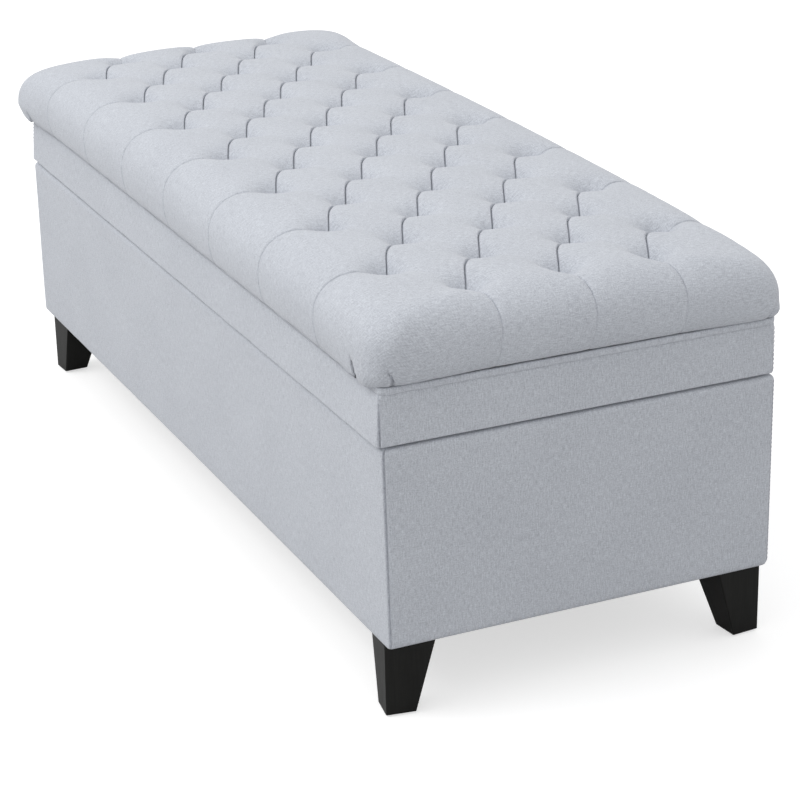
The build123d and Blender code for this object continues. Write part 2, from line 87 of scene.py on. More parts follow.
# %% A socket that can be used in a formula
class Wire:
    """One socket of a material's node tree.  An arithmetic operator adds a Math node and gives its output."""

    def __init__(self, tree, socket=None):
        self.tree = tree
        self.socket = socket

    def add(self, kind, settings=None, inputs=None, out=0):
        """Adds a node: its settings first, then the values or links of its sockets."""
        node = self.tree.nodes.new(kind)
        for name, value in (settings or {}).items():
            if name == "stops":
                for element, (place, colour) in zip(node.color_ramp.elements, value):
                    element.position = place
                    element.color = (*colour, 1.0)
            else:
                setattr(node, name, value)
        for key, value in (inputs or {}).items():
            if isinstance(value, Wire):
                self.tree.links.new(value.socket, node.inputs[key])
            else:
                node.inputs[key].default_value = value
        return Wire(self.tree, node.outputs[out])

    def maths(self, operation, first, second):
        return self.add("ShaderNodeMath", {"operation": operation}, {0: first, 1: second})

    def __add__(self, other):
        return self.maths("ADD", self, other)

    def __mul__(self, other):
        return self.maths("MULTIPLY", self, other)

    def sine(self):
        return self.maths("SINE", self, 0.0)

    def stretched(self, scales):
        """This vector with each of its three numbers scaled."""
        return self.add("ShaderNodeVectorMath", {"operation": "MULTIPLY"}, {0: self, 1: scales})

    def part(self, axis):
        """The X, Y or Z of this vector, as a number."""
        return self.add("ShaderNodeSeparateXYZ", None, {0: self}, out="XYZ".index(axis))

    def noise(self, scale, detail=3.0, roughness=0.5):
        """Soft noise from 0 to 1, read at this vector."""
        inputs = {"Vector": self, "Scale": scale, "Detail": detail, "Roughness": roughness}
        return self.add("ShaderNodeTexNoise", None, inputs)

    def spread(self, low, high):
        """This number from low to high, stretched to 0 to 1 and held there."""
        return self.add("ShaderNodeMapRange", None, {"Value": self, "From Min": low, "From Max": high})

    def mixed(self, first, second):
        """A colour between two, by this number."""
        inputs = {"Factor": self, 6: (*first, 1.0), 7: (*second, 1.0)}
        return self.add("ShaderNodeMix", {"data_type": "RGBA"}, inputs, out=2)


def finish_of(name, uv_name=None):
    """A new material's tree, its Principled shader and the coordinates that its pattern follows."""
    material = bpy.data.materials.new(name)
    material.use_nodes = True
    tree = material.node_tree
    shader = tree.nodes["Principled BSDF"]
    start = Wire(tree)
    if uv_name:
        place = start.add("ShaderNodeUVMap", {"uv_map": uv_name})
    else:
        place = start.add("ShaderNodeTexCoord", out=3)
    return material, shader, place


def connect(shader, **sockets):
    """Links or sets the shader's sockets, named with underscores for spaces."""
    for name, value in sockets.items():
        socket = shader.inputs[name.replace("_", " ")]
        if isinstance(value, Wire):
            value.tree.links.new(value.socket, socket)
        else:
            socket.default_value = value


def bumped(height, depth):
    """The normal of a surface raised by a height from 0 to 1 times a depth in metres."""
    return height.add("ShaderNodeBump", None, {"Strength": 1.0, "Distance": depth, "Height": height})


# %% [markdown]
# ## Linen
# The cover is a plain weave of uneven pale blue-grey yarns.  Its threads run along each piece's own UV map,
# laid out in metres, so the weave keeps its size.  Long thin noise gives the slubs, two sine waves the weave.

# %% Linen
FLAT = "flat"
THREADS = 2 * math.pi / 0.0015


def linen(name, light, dark):
    """A plain weave: crossed thread ridges in the bump, slubs and speckle in the colour."""
    material, shader, place = finish_of(name, FLAT)
    across = place.stretched((760.0, 110.0, 1.0)).noise(1.0, 3.0, 0.6)
    along = place.stretched((150.0, 760.0, 1.0)).noise(1.0, 3.0, 0.6)
    speckle = place.noise(620.0, 3.0, 0.65)
    cloud = place.noise(9.0, 3.0, 0.5)
    warp = (place.part("X") * THREADS).sine() * (place.part("Y") * THREADS).sine()
    yarn = across * 0.34 + along * 0.20 + speckle * 0.40 + cloud * 0.06
    colour = (yarn + warp * 0.02).spread(0.40, 0.60).mixed(dark, light)
    weave = across * 0.4 + along * 0.4 + speckle * 0.35 + warp * 0.12
    connect(shader, Base_Color=colour, Roughness=yarn * 0.25 + 0.75, Normal=bumped(weave, 0.00065))
    connect(shader, Sheen_Weight=0.25, Sheen_Roughness=0.45, Specular_IOR_Level=0.25)
    return material


LINEN = linen("linen", (0.605, 0.633, 0.682), (0.385, 0.403, 0.446))
print("linen thread pitch", round(2000 * math.pi / THREADS, 2), "mm")

# %% [markdown]
# ## Meshes from arrays
# Each new piece is a grid of points worked out at once, and a table of each face's corners.


# %% Grid helpers
def eased(count, pinch):
    """Knots from 0 to 1 that crowd towards both ends: s - pinch sin(2 pi s) / (2 pi)."""
    s = np.linspace(0.0, 1.0, count + 1)
    return s - pinch * np.sin(2 * np.pi * s) / (2 * np.pi)


def bell(distance, width, power=2):
    """A fall from 1 at no distance: exp(-(distance / width)^power)."""
    return np.exp(-((distance / width) ** power))


def smoothed(share):
    """Soft ends for a share from 0 to 1: s^2 (3 - 2 s)."""
    return share * share * (3 - 2 * share)


def thickened(piece, thickness):
    """Gives a sheet its fabric's thickness, on the side away from its normals."""
    thick = piece.modifiers.new("cloth thickness", "SOLIDIFY")
    thick.thickness = thickness
    thick.offset = -1


def paired(across, down):
    """A grid of flat coordinates from its columns' and its rows' own."""
    return np.stack(np.broadcast_arrays(across[None], down[:, None]), axis=-1)


def raised(place, height):
    """A grid of points from their places seen from above and their heights."""
    return np.concatenate([place, np.broadcast_to(height, place.shape[:-1])[..., None]], axis=-1)


def grid_faces(rows, columns, closed=False):
    """Corner numbers of a grid's faces, row by row; a closed grid joins its last column to its first."""
    number = np.arange(rows * columns).reshape(rows, columns)
    if closed:
        number = np.hstack([number, number[:, :1]])
    corners = (number[:-1, :-1], number[1:, :-1], number[1:, 1:], number[:-1, 1:])
    return np.stack(corners, axis=-1).reshape(-1, 4)


def mesh_piece(name, points, faces, material, flat=None):
    """An object from points and faces, smooth, with its flat-laid coordinates in metres as a UV map."""
    mesh = bpy.data.meshes.new(name)
    mesh.from_pydata(points.reshape(-1, 3).tolist(), [], [list(f) for f in faces])
    if flat is not None:
        corners = np.empty(len(mesh.loops), np.int32)
        mesh.loops.foreach_get("vertex_index", corners)
        uv = mesh.uv_layers.new(name=FLAT)
        uv.data.foreach_set("uv", flat.reshape(-1, 2)[corners].astype(np.float32).ravel())
    mesh.shade_smooth()
    mesh.materials.append(material)
    piece = bpy.data.objects.new(name, mesh)
    scene.collection.objects.link(piece)
    return piece


def placed(piece, body, slot, *nodes):
    """The piece rides on its body and stands for its CAD nodes, which are hidden; its slot is not used."""
    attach(piece, body)
    if nodes:
        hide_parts(*nodes)
    return piece


def wander(x, wavelengths, seed):
    """A seeded, smooth, irregular wave of height about 1: a sum of sines of the given wavelengths."""
    draw = np.random.default_rng(seed)
    total = np.zeros_like(x)
    for wavelength in wavelengths:
        total = total + np.sin(2 * np.pi * x / wavelength + draw.uniform(0, 2 * np.pi))
    return total / len(wavelengths)


# %% [markdown]
# ## The outline that the lid's parts share
# Seen from above, the seat and the welt are rounded rectangles.  Walking round one, the centre of curvature
# slides along the straights and stops at the corners while the outward angle turns.  The point is the centre
# plus the radius at that angle.


# %% Rounded outline
def outline_knots(half_x, front, back, radius):
    """Distances at which the straights and arcs meet, with the centre of curvature and angle at each."""
    straight_x = half_x - radius
    arc = math.pi * radius / 2
    steps = [0, straight_x, arc, back - front - 2 * radius, arc, 2 * straight_x, arc]
    steps += [back - front - 2 * radius, arc, straight_x]
    low, high = front + radius, back - radius
    centre_x = np.array([0, 1, 1, 1, 1, -1, -1, -1, -1, 0]) * straight_x
    centre_y = np.array([low, low, low, high, high, high, high, low, low, low])
    angle = np.radians([-90, -90, 0, 0, 90, 90, 180, 180, 270, 270])
    return np.cumsum(steps), centre_x, centre_y, angle


def outline(distance, half_x, front, back, radius):
    """Point and outward direction at each distance walked counter-clockwise from the middle of the front."""
    knots, centre_x, centre_y, angle = outline_knots(half_x, front, back, radius)
    walked = np.mod(distance, knots[-1])
    turned = np.interp(walked, knots, angle)
    outward = np.stack([np.cos(turned), np.sin(turned)], axis=-1)
    centre = np.stack([np.interp(walked, knots, centre_x), np.interp(walked, knots, centre_y)], axis=-1)
    return centre + radius * outward, outward


# %% [markdown]
# ## The tufted seat
# Twine pulls the cover down at 52 points, set in diamonds.  The fabric between two tufts lies in a pleat, and
# each diamond swells into a pillow.  From the outer tufts a pleat runs over the edge and down to the welt.
# Every pillow is its own grid between four tufts, so pleats lie along grid lines, and one ring of columns runs
# from the outer zigzag of pleats over the edge and down.  All grids share the knots along a pleat, crowded
# towards its ends.

# %% The lattice of tufts
tie_low, tie_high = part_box("tuft_ties")
TIE_RADIUS = 0.001
STEP_X = (tie_high.x - tie_low.x - 2 * TIE_RADIUS) / 14
STEP_Y = (tie_high.y - tie_low.y - 2 * TIE_RADIUS) / 6
STEP = np.array([STEP_X, STEP_Y])
SEGMENTS = 24
knots = eased(SEGMENTS, 0.93)
print("tuft steps", round(STEP_X * 1000, 1), round(STEP_Y * 1000, 1), "mm")


def lattice_cells():
    """The centres of the pillows, in steps: those whose four neighbours along X and Y are all tufts."""
    wide = [(m, n) for n in (-2, 0, 2) for m in range(-6, 7, 2)]
    return wide + [(m, n) for n in (-1, 1) for m in range(-5, 6, 2)]


def outer_tufts():
    """The zigzag of outer tufts, in steps, counter-clockwise from the front left."""
    front = [(m, -3 + m % 2) for m in range(-6, 7)]
    right = [(7 - n % 2, n) for n in range(-2, 3)]
    back = [(m, 3 - m % 2) for m in range(6, -7, -1)]
    left = [(-7 + n % 2, n) for n in range(2, -3, -1)]
    return np.array(front + right + back + left, float)


def pillow_grid(centre):
    """A pillow's flat points: from its front tuft, f steps along one diagonal and g along the other."""
    f, g = np.meshgrid(knots, knots, indexing="ij")
    m = centre[0] + f - g
    n = centre[1] - 1 + f + g
    return np.stack([m * STEP_X, n * STEP_Y], axis=-1).reshape(-1, 2)


cells = [pillow_grid(c) for c in lattice_cells()]
print(len(cells), "pillows and", len(outer_tufts()), "outer tufts")

# %% [markdown]
# The ring's side profile starts level, turns down over a soft edge, swells out and tucks in at the welt.
# It is one curve of distance inwards from the widest line against height, walked by its own length.

# %% Side profile of the cushion
seat_low, seat_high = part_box("tufted_cover")
welt_low, welt_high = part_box("welt")
CROWN_Z = seat_high.z + 0.001
WIDEST_Z = seat_low.z + 0.031
FOOT_Z = seat_low.z + 0.0022
EDGE_IN = 0.066
TUCK_IN = 0.0130
SEAT_HALF_X = seat_high.x
SEAT_RADIUS = 0.031


def seat_profile():
    """Inward distance and height down the side: a level run, a superellipse quarter and an elliptic foot."""
    quarter = np.linspace(0, np.pi / 2, 60)
    shoulder_in = EDGE_IN * (1 - np.sin(quarter) ** 0.86)
    shoulder_z = WIDEST_Z + (CROWN_Z - WIDEST_Z) * np.cos(quarter) ** 0.86
    foot_in = TUCK_IN * (1 - np.cos(quarter[1:]))
    foot_z = WIDEST_Z - (WIDEST_Z - FOOT_Z) * np.sin(quarter[1:])
    level = np.linspace(0.260, EDGE_IN, 20)[:-1]
    inward = np.concatenate([level, shoulder_in, foot_in, [TUCK_IN + 0.012]])
    height = np.concatenate([np.full(len(level), CROWN_Z), shoulder_z, foot_z, [FOOT_Z]])
    walked = np.concatenate([[0], np.cumsum(np.hypot(np.diff(inward), np.diff(height)))])
    return walked, inward, height


walked, inward, height = seat_profile()
slope_in = np.gradient(inward, walked)
slope_z = np.gradient(height, walked)
print("profile length", round(walked[-1], 3), "m")


# %% The ring of columns
def corner_knots(count):
    """Knots from 0 towards 1, crowded at both ends and over the middle, where the corner's tuck lies."""
    s = np.linspace(0, 1, 4001)
    crowd = 0.25 + 1.2 * bell(s - 0.5, 0.20, 4) + 1.5 * (np.exp(-s / 0.02) + np.exp((s - 1) / 0.02))
    total = np.concatenate([[0], np.cumsum((crowd[1:] + crowd[:-1]) / 2)])
    return np.interp(np.linspace(0, 1, count + 1)[:-1], total / total[-1], s)


def ring_stations():
    """Each column's flat inner point, distance along the outline and whether a pleat starts; the stations."""
    tufts = outer_tufts() * STEP
    marks, _, _, _ = outline_knots(SEAT_HALF_X, seat_low.y, seat_high.y, SEAT_RADIUS)
    low, high = seat_low.y + SEAT_RADIUS, seat_high.y - SEAT_RADIUS
    reach = SEAT_HALF_X - SEAT_RADIUS
    front, right, back, left = tufts[:13], tufts[13:18], tufts[18:31], tufts[31:]
    station = np.concatenate([front[:, 0], marks[2] + right[:, 1] - low, marks[4] + reach - back[:, 0],
                              marks[6] + high - left[:, 1], [marks[-1] + front[0, 0]]])
    tufts = np.vstack([tufts, tufts[:1]])
    inner, along, shared = [], [], []
    for k in range(36):
        parts = 7 if k in (12, 17, 30, 35) else 1
        fine = np.interp(np.arange(parts * SEGMENTS) / parts, np.arange(SEGMENTS + 1), knots)
        outer = corner_knots(parts * SEGMENTS) if parts > 1 else fine
        inner.append(tufts[k] + (tufts[k + 1] - tufts[k]) * fine[:, None])
        along.append(station[k] + (station[k + 1] - station[k]) * outer)
        shared.append(np.arange(parts * SEGMENTS) % parts == 0)
    return np.vstack(inner), np.concatenate(along), np.concatenate(shared), station[:-1]


ROWS = 46
inner, along, shared, stations = ring_stations()
rim, rim_out = outline(along, SEAT_HALF_X, seat_low.y, seat_high.y, SEAT_RADIUS)
span = rim - inner
reach_in = np.hypot(span[:, 0], span[:, 1])
heading = span / reach_in[:, None]
start = np.interp(-reach_in, -inward, walked)
rows = eased(ROWS, 0.88)[:, None]
down = rows * (walked[-1] - start)
ring_walk = start + down
ring_flat = inner + heading * down[..., None]
print("ring of", len(along), "columns and", ROWS, "rows")

# %% [markdown]
# ### How far the fabric is pulled in
# Four things pull the cover in: a pit at each tuft, a broad valley along the pleats of one diagonal, a
# shoulder with a narrow slit along those of the other, and the same slit down the side pleats.  Each falls
# with the distance to its point or line, measured on the flat-laid fabric.


# %% Depth of the folds
def to_segments(points, starts, ends):
    """Distance from each point to the nearest of some segments."""
    run = ends - starts
    offset = points[:, None, :] - starts[None]
    share = np.clip((offset * run).sum(-1) / (run * run).sum(-1), 0, 1)
    gap = offset - share[..., None] * run
    return np.sqrt((gap * gap).sum(-1).min(1))


def lattice_lines(turned):
    """Starts and ends of the pleats that run to the back left (turned -1) or to the back right (turned 1)."""
    starts, ends = [], []
    for m, n in lattice_cells():
        front, side = (m, n - 1), (m + turned, n)
        starts += [front, (m - turned, n)]
        ends += [side, (m, n + 1)]
    return np.array(starts, float) * STEP, np.array(ends, float) * STEP


SIDE_PLEATS = np.concatenate([np.arange(0, 13, 2), np.arange(13, 18, 2), np.arange(18, 31, 2),
                              np.arange(31, 36, 2)])
pleat_columns = np.searchsorted(along, stations[SIDE_PLEATS] - 1e-9)
PIT, PIT_RADIUS = 0.023, 0.0165
VALLEY, VALLEY_WIDTH = 0.0020, 0.016
SHOULDER, SHOULDER_WIDTH = 0.0020, 0.0055
SLIT, SLIT_WIDTH = 0.0046, 0.0009
DIP, DIP_WIDTH, DIP_REACH = 0.0035, 0.018, 0.050


def fold_depth(points, below):
    """At flat points: the folds' depth, the distance to a crisp pleat, and how firmly the folds hold them.

    below is how far past the zigzag of outer tufts the points lie.
    """
    tufts = np.vstack([c[[0, SEGMENTS, -SEGMENTS - 1, -1]] for c in cells])
    tufts = np.unique(tufts.round(6), axis=0)
    to_tuft = to_segments(points, tufts, tufts + 1e-6)
    crisp = to_segments(points, *lattice_lines(-1))
    soft = to_segments(points, *lattice_lines(1))
    side = to_segments(points, ring_flat[0, pleat_columns], ring_flat[-1, pleat_columns])
    fade = 0.22 + 0.78 * bell(below, 0.065)
    at_end = np.clip((np.abs(points[:, 0]) - 0.55) / 0.03, 0, 1)
    depth = PIT * bell(to_tuft, PIT_RADIUS, 1.5)
    depth += VALLEY * bell(soft, VALLEY_WIDTH, 1.5)
    depth += SHOULDER * np.maximum(np.exp(-crisp / SHOULDER_WIDTH), fade * np.exp(-side / SHOULDER_WIDTH))
    slit = (1 - bell(to_tuft, 0.006)) * bell(crisp, SLIT_WIDTH)
    side_slit = (1.25 - 0.6 * at_end) * fade * (1 - bell(to_tuft, 0.030, 4)) * bell(side, SLIT_WIDTH)
    depth += DIP * bell(below, DIP_REACH) * bell(side, DIP_WIDTH, 1.5)
    held = np.maximum(bell(np.minimum(crisp, side), 0.007), bell(to_tuft, 0.012))
    held = np.maximum(held, 0.8 * bell(soft, 0.006))
    return depth + SLIT * np.maximum(slit, side_slit), crisp, held


# %% [markdown]
# ### Tucks at the corners
# At each corner of the cushion the spare fabric is folded under into a small rounded tongue that ends at the
# welt.  A deep fold runs down each side of it.  Both fade out above it, and the tongue between them stands a
# little proud.  The one at the front leans in towards the corner as it goes down.

# %% Tucks
TUCK_HEIGHT = 0.024
TUCK_FOLD = 0.0135


def tuck_depth():
    """Depth of the corner folds over the ring: grooves at two curves of height, less a bulge between them."""
    marks = outline_knots(SEAT_HALF_X, seat_low.y, seat_high.y, SEAT_RADIUS)[0]
    up = (walked[-1] - 0.012 - ring_walk) / TUCK_HEIGHT
    shown = smoothed(np.clip((1.2 - up) / 0.7, 0, 1) * np.clip(up / 0.15, 0, 1))
    total = np.zeros_like(ring_walk)
    for corner, turned in enumerate((1, -1, 1, -1)):
        middle = (marks[2 * corner + 1] + marks[2 * corner + 2]) / 2
        across = turned * (along - middle)
        leaning = np.abs(across + 0.030 + 0.022 * np.clip(up, 0, 1.2) ** 0.6)
        upright = np.abs(across - 0.0105 - 0.004 * np.sin(np.pi * np.clip(up, 0, 1)))
        inside = np.clip(1 - np.abs((across + 0.015) / 0.032) ** 4, 0, 1)
        groove = bell(leaning, 0.0025) + 0.5 * bell(upright, 0.0014)
        round_edge = 0.16 * (np.exp(-leaning / 0.004) + 0.6 * np.exp(-upright / 0.004))
        total += shown * (TUCK_FOLD * (groove + round_edge) - 0.0022 * inside)
    return total.ravel()


# %% [markdown]
# ### Bowed pleats
# The pleats of one diagonal don't run straight: each leaves its tuft along the bench and swings round into
# the next.  Shifting the flat points sideways by a wave that is zero at every tuft bows them all alike.
# Down the sides the pleats swing gently the same way before they reach the welt.

# %% Bow and swing
BOW = 0.0095
SWING = 0.009
LEAN = 0.0016
FOOT_GROOVE, FOOT_GROOVE_UP, FOOT_GROOVE_WIDTH = 0.0048, 0.0145, 0.0013
ACROSS = -np.array([STEP_Y, STEP_X]) / math.hypot(STEP_X, STEP_Y)


def bowed(points, below):
    """Sideways shift of flat points: the bow's height times a skewed half wave of the place between tufts."""
    share = np.mod(-(points[:, 0] / STEP_X - points[:, 1] / STEP_Y + 1) / 2, 1.0)
    wave = np.sin(np.pi * share ** 1.25)
    return ACROSS * (BOW * wave * bell(below, 0.020))[:, None]


def leaned(crisp):
    """Sideways lean of the fabric over the crisp pleats, so that one side of each rolls over the other."""
    return ACROSS * (LEAN * bell(crisp, 1.5 * SLIT_WIDTH))[:, None]


def crown(points):
    """The seat's gentle crown: highest along its middle, a little lower towards the edges and the ends."""
    x, y = points[:, 0] / SEAT_HALF_X, points[:, 1] / seat_high.y
    return 0.002 - 0.004 * y ** 2 - 0.008 * x ** 2


def seat_cells():
    """Pillows' points, flat points and hold: the lattice bowed, raised to the crown and pulled in."""
    flat = np.vstack(cells)
    none = np.zeros(len(flat))
    depth, crisp, held = fold_depth(flat, none)
    place = flat + bowed(flat, none) + leaned(crisp)
    points = np.column_stack([place, CROWN_Z + crown(place) - depth])
    return points, flat, held


def seat_ring():
    """The ring's points, flat points and hold: the profile swept round, pulled in along its own normal."""
    flat = ring_flat.reshape(-1, 2)
    below = down.ravel()
    depth, crisp, held = fold_depth(flat, below)
    away = np.interp(ring_walk, walked, inward)[..., None]
    place = (rim - heading * away).reshape(-1, 2)
    z = np.interp(ring_walk, walked, height).ravel()
    level = np.clip((z - WIDEST_Z) / (CROWN_Z - WIDEST_Z), 0, 1)
    facing = (np.broadcast_to(heading, (ROWS + 1, len(along), 2)).reshape(-1, 2)
              * -np.interp(ring_walk, walked, slope_z).ravel()[:, None])
    rising = -np.interp(ring_walk, walked, slope_in).ravel()
    share = (down / down[-1]).ravel()
    tucks = tuck_depth()
    at_front = np.clip(-rim_out[:, 1], 0, 1) ** 4 * np.clip((0.635 - rim[:, 0]) / 0.02, 0, 1)
    above_foot = ring_walk - walked[-1] + FOOT_GROOVE_UP
    tucks += (FOOT_GROOVE * at_front * bell(above_foot, FOOT_GROOVE_WIDTH)).ravel()
    held = np.maximum(held, np.clip(np.abs(tucks) / 0.001, 0, 1))
    held = np.maximum(held, np.clip((share - 0.75) / 0.12, 0, 1))
    depth = depth * np.clip((1 - share) / 0.12, 0, 1) + tucks
    at_end = np.abs(rim_out[:, 0]) > 0.7
    middle_y = (seat_low.y + seat_high.y) / 2
    from_side = seat_high.y - middle_y - np.abs(rim[:, 1] - middle_y)
    from_arc = np.where(at_end, from_side, SEAT_HALF_X - np.abs(rim[:, 0]))
    straight = smoothed(np.clip((from_arc - SEAT_RADIUS) / 0.09, 0, 1))
    tangent = np.where(at_end[:, None], np.array([[0.0, 1.0]]), np.array([[-1.0, 0.0]]))
    swing = np.broadcast_to(tangent * straight[:, None] * SWING, (ROWS + 1, len(along), 2)).reshape(-1, 2)
    place = place + swing * (np.sin(np.pi * np.clip(share, 0, 1)) ** 1.5)[:, None]
    place = place + bowed(flat, below) - facing * depth[:, None]
    place = place + leaned(crisp)
    z = z + crown(place) * level - rising * depth
    return np.column_stack([place, z]), flat, held


# %% Stitching the grids into one cushion
def seat_faces(first):
    """Faces of the pillows, the ring and the flat underside; first is the ring's first point."""
    one = grid_faces(SEGMENTS + 1, SEGMENTS + 1)
    pillows = [one + k * (SEGMENTS + 1) ** 2 for k in range(len(cells))]
    faces = [list(f) for f in np.vstack(pillows)]
    columns = len(along)
    ring = grid_faces(ROWS + 1, columns, closed=True) + first
    faces += [list(f) for f in ring[columns:]]
    starts = np.append(np.flatnonzero(shared), columns)
    for low, high in zip(starts[:-1], starts[1:]):
        under = [first + columns + k % columns for k in range(low, high + 1)]
        faces.append([first + low, *under, first + high % columns])
    faces.append([first + ROWS * columns + k for k in range(columns)][::-1])
    return faces


# %% [markdown]
# ### Settled corners
# No cushion is stuffed evenly.  The front left corner has spread out over the band and gone flat, the back
# right one has sunk, and the front edge hangs over the welt.  Each is a smooth push that fades with distance.

# %% Settling
CORNER_PUSHES = (
    ((-0.655, -0.255), 0.12, (-0.0150, -0.0070, -0.0130)),
    ((0.650, 0.255), 0.12, (-0.0030, -0.0025, -0.0085)),
)
FRONT_HANG = 0.0075
BACK_SINK = 0.003


def settled(points):
    """The points with each corner's push, which fades as a bell, and the hang of the front edge."""
    lift = np.clip((points[:, 2] - seat_low.z) / 0.030, 0, 1)[:, None]
    pushed = points.copy()
    for corner, reach, push in CORNER_PUSHES:
        away = np.hypot(points[:, 0] - corner[0], points[:, 1] - corner[1])
        pushed += lift * bell(away, reach)[:, None] * np.array(push)
    rightward = np.clip(points[:, 0] / SEAT_HALF_X, 0, 1)
    pushed[:, 2] -= BACK_SINK * rightward * lift[:, 0] * np.clip(points[:, 1] / seat_high.y, 0, 1)
    front = np.clip((-0.2450 - points[:, 1]) / 0.006, 0, 1) * np.clip((0.648 - points[:, 0]) / 0.030, 0, 1)
    low = np.clip((seat_low.z + 0.034 - points[:, 2]) / 0.034, 0, 1)
    ragged = wander(points[:, 0], (0.21, 0.093, 0.037, 0.019), 17)
    pushed[:, 2] -= (FRONT_HANG + 0.0007 * ragged) * front * low ** 2
    pushed[:, 1] -= 0.001 * front * low ** 2
    return pushed


cell_points, cell_flat, cell_held = seat_cells()
ring_points, ring_uv, ring_held = seat_ring()
seat_points = settled(np.vstack([cell_points, ring_points]))
seat_uv = np.vstack([cell_flat, ring_uv])


def merged(piece, distance):
    """Joins the points that two grids share, and drops those that no face uses."""
    work = bmesh.new()
    work.from_mesh(piece.data)
    bmesh.ops.remove_doubles(work, verts=work.verts, dist=distance)
    bmesh.ops.delete(work, geom=[v for v in work.verts if not v.link_faces], context="VERTS")
    work.to_mesh(piece.data)
    work.free()
    return piece


seat = mesh_piece("tufted_seat", seat_points, seat_faces(len(cell_points)), LINEN, seat_uv)
held_values = seat.data.attributes.new("held", "FLOAT", "POINT")
held_values.data.foreach_set("value", np.concatenate([cell_held, ring_held]))
merged(seat, 0.00003)
placed(seat, "lid", "linen_fabric", "tufted_cover", "lid_batting", "lid_foam")
print("seat:", len(seat.data.vertices), "points,", len(seat.data.polygons), "faces")

# %% [markdown]
# ### Stuffing the cushion
# The folds are in place, but the fabric between them is too even.  A short cloth simulation with pressure
# inside and no gravity lets it swell between the held folds.  Moves are capped, so the outline stays.

# %% Cloth simulation
SWELL_CAP = 0.0035
PRESSURE = 4.0
EVEN_VOXEL = 0.011
HOLD_STEPS = 20
FRAMES = 20
NEIGHBOURS = 4


def points_of(piece):
    """The piece's points as an array."""
    values = np.empty(3 * len(piece.data.vertices))
    piece.data.vertices.foreach_get("co", values)
    return values.reshape(-1, 3)


def cloth_copy(piece, voxel):
    """A remeshed copy with even faces, which a cloth simulation runs through quickly."""
    copy = bpy.data.objects.new("stuffing", piece.data.copy())
    scene.collection.objects.link(copy)
    remesh = copy.modifiers.new("even", "REMESH")
    remesh.mode = "VOXEL"
    remesh.voxel_size = voxel
    applied(copy, remesh)
    return copy


def applied(piece, modifier):
    """Applies a modifier to the piece's mesh."""
    bpy.context.view_layer.objects.active = piece
    bpy.ops.object.modifier_apply(modifier=modifier.name)


def tree_of(points):
    """A search tree over points."""
    tree = kdtree.KDTree(len(points))
    for number, point in enumerate(points):
        tree.insert(point, number)
    tree.balance()
    return tree


def stuffed(piece, pressure, cap):
    """Swells an even copy by cloth simulation, held at the folds, and carries its moves to the piece."""
    fine = points_of(piece)
    held = np.empty(len(fine))
    piece.data.attributes["held"].data.foreach_get("value", held)
    copy = cloth_copy(piece, EVEN_VOXEL)
    before = points_of(copy)
    near = tree_of(fine)
    steps = np.round(HOLD_STEPS * held[[near.find(p)[1] for p in before]]).astype(int)
    group = copy.vertex_groups.new(name="held")
    for step in range(1, HOLD_STEPS + 1):
        group.add(np.flatnonzero(steps == step).tolist(), step / HOLD_STEPS, "REPLACE")
    cloth = copy.modifiers.new("stuffing", "CLOTH")
    cloth.settings.use_pressure = True
    cloth.settings.uniform_pressure_force = pressure
    cloth.settings.vertex_group_mass = "held"
    cloth.settings.effector_weights.gravity = 0
    cloth.collision_settings.use_collision = False
    for number in range(1, FRAMES + 1):
        scene.frame_set(number)
    applied(copy, cloth)
    scene.frame_set(1)
    moves = points_of(copy) - before
    tree = tree_of(before)
    found = [tree.find_n(point, NEIGHBOURS) for point in fine]
    numbers = np.array([[f[1] for f in few] for few in found])
    share = 1 / (0.002 + np.array([[f[2] for f in few] for few in found]))
    move = (moves[numbers] * share[..., None]).sum(1) / share.sum(1)[:, None] * (1 - held)[:, None]
    length = np.linalg.norm(move, axis=1)
    move *= np.minimum(1, cap / np.maximum(length, 1e-9))[:, None]
    piece.data.vertices.foreach_set("co", (fine + move).ravel())
    piece.data.update()
    bpy.data.objects.remove(copy)
    print("copy of", len(before), "points; moves up to", round(length.max() * 1000, 2), "mm")


stuffed(seat, PRESSURE, SWELL_CAP)

# %% [markdown]
# ## The welt
# A narrow folded strip of the same fabric is nailed under the cushion's edge.  It is a small rounded profile
# carried round the lid, and it wanders a little, as a strip stretched by hand does.

# %% Welt
WELT_RADIUS = 0.012


def swept_profile(name, offsets, heights, walk, outline_size, waver, seed):
    """A closed profile of outward offset and height, carried round an outline, with a slight wander."""
    base, outward = outline(walk, *outline_size)
    base = base + outward * (-0.0035 * np.clip(-outward[:, 1:], 0, 1) ** 4)
    wave = waver * wander(walk, (0.31, 0.083, 0.047, 0.021), seed)
    place = base[None] + outward[None] * np.asarray(offsets)[:, None, None]
    z = np.asarray(heights)[:, None] + wave[None]
    around = np.concatenate([[0], np.cumsum(np.hypot(np.diff(offsets), np.diff(heights)))])
    faces = grid_faces(len(offsets), len(walk), closed=True)
    return mesh_piece(name, raised(place, z), faces, LINEN, paired(walk, around))


def round_profile(depth, rise, count):
    """A flattened loop of the given depth outwards, three times that inwards, and rise, about its middle."""
    turn = np.linspace(np.pi / 2, -3 * np.pi / 2, count)
    offsets = depth * np.sign(np.cos(turn)) * np.abs(np.cos(turn)) ** 0.7
    offsets = np.where(offsets < 0, 3.0 * offsets, offsets)
    heights = rise / 2 * np.sign(np.sin(turn)) * np.abs(np.sin(turn)) ** 0.7
    return offsets, heights


